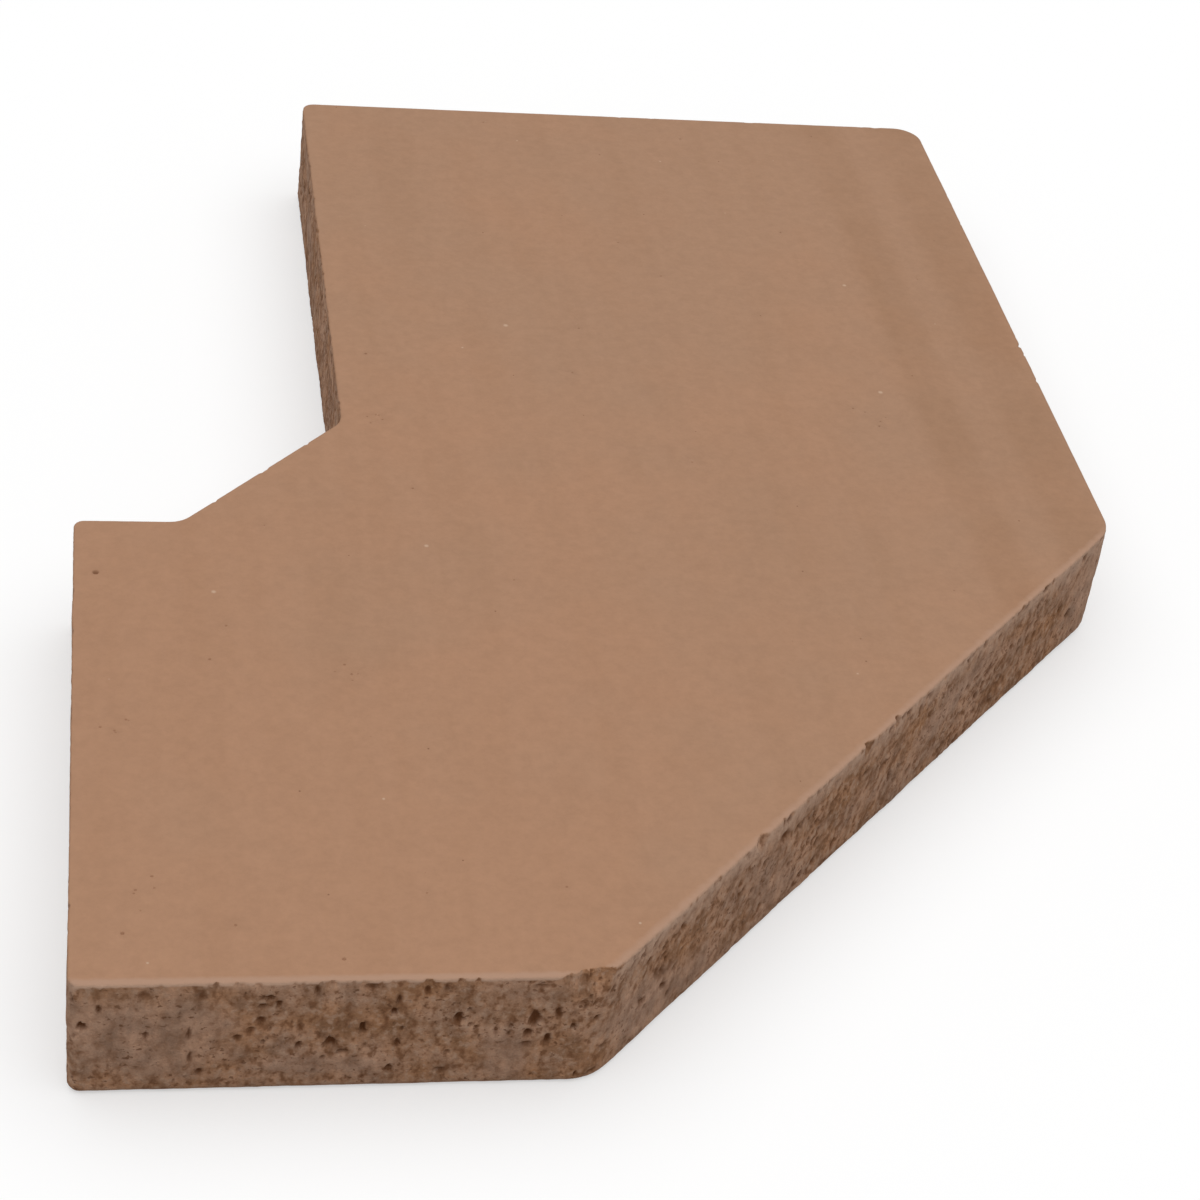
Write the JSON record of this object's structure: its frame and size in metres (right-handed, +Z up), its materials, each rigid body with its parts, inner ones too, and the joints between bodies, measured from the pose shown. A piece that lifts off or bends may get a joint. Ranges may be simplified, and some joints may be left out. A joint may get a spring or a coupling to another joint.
{
  "type": "heat storage stone",
  "caption": "Flat fireclay slab with a slanted outer corner and a notch for a flue pipe, laid in a stove to store heat.",
  "frame": {"origin": "middle of the bounding rectangle of the underside, on the surface that the stone lies on", "axes": "+Z up through the thickness, +X from the seam face to the outer side, +Y from the front face to the back face"},
  "size_m": [0.255, 0.365, 0.03],
  "materials": {
    "fireclay": "matte"
  },
  "bodies": {
    "root": {"storage_stone": "fireclay"}
  },
  "joints": []
}
